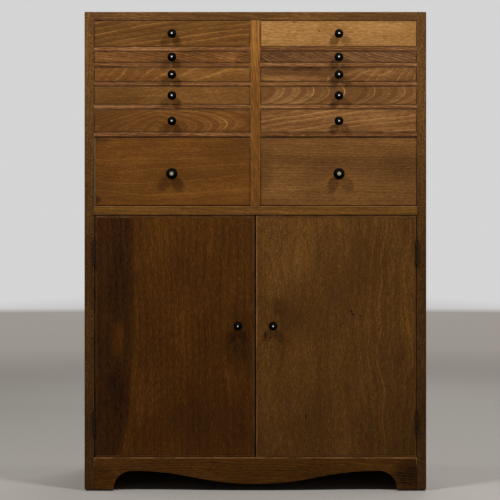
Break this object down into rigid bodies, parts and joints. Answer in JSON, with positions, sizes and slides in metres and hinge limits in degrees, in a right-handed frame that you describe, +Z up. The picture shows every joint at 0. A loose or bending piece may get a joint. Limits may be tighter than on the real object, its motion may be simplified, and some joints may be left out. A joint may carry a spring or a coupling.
{
  "type": "haberdashery cabinet",
  "caption": "Upright wooden haberdashery cabinet: columns of graduated flush drawers over a cupboard with hinged doors, ebonised knobs with pale dots, and a shaped apron.",
  "frame": {"origin": "on the floor, midway between the sides and midway between the faces of the big knobs and the back of the cabinet", "axes": "+Z up, -Y out of the front, +X to the right of someone facing the front"},
  "size_m": [0.762, 0.431, 1.068],
  "materials": {
    "drawer_front_wood": "polished, worn at the arrises",
    "door_wood": "polished straight-grained veneer",
    "carcass_wood": "polished, worn at the arrises",
    "drawer_lining": "bare",
    "inner_wood": "stained",
    "ebonised_wood": "black polish, inlaid pale dot",
    "hinge_metal": "aged",
    "catch_metal": "dull",
    "pad_felt": "matt"
  },
  "bodies": {
    "carcass": {"left_side_panel": "carcass_wood", "right_side_panel": "carcass_wood", "top_board": "carcass_wood", "waist_board": "carcass_wood", "base_board": "inner_wood", "drawer_divider": "carcass_wood", "back_boards": "inner_wood", "front_apron": "carcass_wood", "foot_pads": "pad_felt", "drawer_rails": "carcass_wood", "drawer_runners": "inner_wood", "drawer_stops": "inner_wood", "cupboard_shelf": "inner_wood", "shelf_bearers": "inner_wood", "catch_magnets": "catch_metal", "frame_hinges": "hinge_metal"},
    "left_door": {"left_door_panel": "door_wood", "left_door_knob": "ebonised_wood", "left_door_hinges": "hinge_metal", "left_door_catch_plate": "catch_metal"},
    "left_drawer_1": {"drawer_front_left_1": "drawer_front_wood", "drawer_box_left_1": "drawer_lining", "drawer_knob_left_1": "ebonised_wood"},
    "left_drawer_2": {"drawer_front_left_2": "drawer_front_wood", "drawer_box_left_2": "drawer_lining", "drawer_knob_left_2": "ebonised_wood"},
    "left_drawer_3": {"drawer_front_left_3": "drawer_front_wood", "drawer_box_left_3": "drawer_lining", "drawer_knob_left_3": "ebonised_wood"},
    "left_drawer_4": {"drawer_front_left_4": "drawer_front_wood", "drawer_box_left_4": "drawer_lining", "drawer_knob_left_4": "ebonised_wood"},
    "left_drawer_5": {"drawer_front_left_5": "drawer_front_wood", "drawer_box_left_5": "drawer_lining", "drawer_knob_left_5": "ebonised_wood"},
    "left_drawer_6": {"drawer_front_left_6": "drawer_front_wood", "drawer_box_left_6": "drawer_lining", "drawer_knob_left_6": "ebonised_wood"},
    "right_door": {"right_door_panel": "door_wood", "right_door_knob": "ebonised_wood", "right_door_hinges": "hinge_metal", "right_door_catch_plate": "catch_metal"},
    "right_drawer_1": {"drawer_front_right_1": "drawer_front_wood", "drawer_box_right_1": "drawer_lining", "drawer_knob_right_1": "ebonised_wood"},
    "right_drawer_2": {"drawer_front_right_2": "drawer_front_wood", "drawer_box_right_2": "drawer_lining", "drawer_knob_right_2": "ebonised_wood"},
    "right_drawer_3": {"drawer_front_right_3": "drawer_front_wood", "drawer_box_right_3": "drawer_lining", "drawer_knob_right_3": "ebonised_wood"},
    "right_drawer_4": {"drawer_front_right_4": "drawer_front_wood", "drawer_box_right_4": "drawer_lining", "drawer_knob_right_4": "ebonised_wood"},
    "right_drawer_5": {"drawer_front_right_5": "drawer_front_wood", "drawer_box_right_5": "drawer_lining", "drawer_knob_right_5": "ebonised_wood"},
    "right_drawer_6": {"drawer_front_right_6": "drawer_front_wood", "drawer_box_right_6": "drawer_lining", "drawer_knob_right_6": "ebonised_wood"}
  },
  "joints": [
    {"name": "left_door_hinge", "type": "hinge", "parent": "carcass", "child": "left_door", "pos_m": [-0.3592, -0.1938, 0.3442], "axis": [0, 0, -1], "range_deg": [0, 170]},
    {"name": "left_drawer_1_slide", "type": "slide", "parent": "carcass", "child": "left_drawer_1", "axis": [0, -1, 0], "range_m": [0, 0.29]},
    {"name": "left_drawer_2_slide", "type": "slide", "parent": "carcass", "child": "left_drawer_2", "axis": [0, -1, 0], "range_m": [0, 0.29]},
    {"name": "left_drawer_3_slide", "type": "slide", "parent": "carcass", "child": "left_drawer_3", "axis": [0, -1, 0], "range_m": [0, 0.29]},
    {"name": "left_drawer_4_slide", "type": "slide", "parent": "carcass", "child": "left_drawer_4", "axis": [0, -1, 0], "range_m": [0, 0.29]},
    {"name": "left_drawer_5_slide", "type": "slide", "parent": "carcass", "child": "left_drawer_5", "axis": [0, -1, 0], "range_m": [0, 0.29]},
    {"name": "left_drawer_6_slide", "type": "slide", "parent": "carcass", "child": "left_drawer_6", "axis": [0, -1, 0], "range_m": [0, 0.29]},
    {"name": "right_door_hinge", "type": "hinge", "parent": "carcass", "child": "right_door", "pos_m": [0.3592, -0.1938, 0.3442], "axis": [0, 0, 1], "range_deg": [0, 170]},
    {"name": "right_drawer_1_slide", "type": "slide", "parent": "carcass", "child": "right_drawer_1", "axis": [0, -1, 0], "range_m": [0, 0.29]},
    {"name": "right_drawer_2_slide", "type": "slide", "parent": "carcass", "child": "right_drawer_2", "axis": [0, -1, 0], "range_m": [0, 0.29]},
    {"name": "right_drawer_3_slide", "type": "slide", "parent": "carcass", "child": "right_drawer_3", "axis": [0, -1, 0], "range_m": [0, 0.29]},
    {"name": "right_drawer_4_slide", "type": "slide", "parent": "carcass", "child": "right_drawer_4", "axis": [0, -1, 0], "range_m": [0, 0.29]},
    {"name": "right_drawer_5_slide", "type": "slide", "parent": "carcass", "child": "right_drawer_5", "axis": [0, -1, 0], "range_m": [0, 0.29]},
    {"name": "right_drawer_6_slide", "type": "slide", "parent": "carcass", "child": "right_drawer_6", "axis": [0, -1, 0], "range_m": [0, 0.29]}
  ]
}
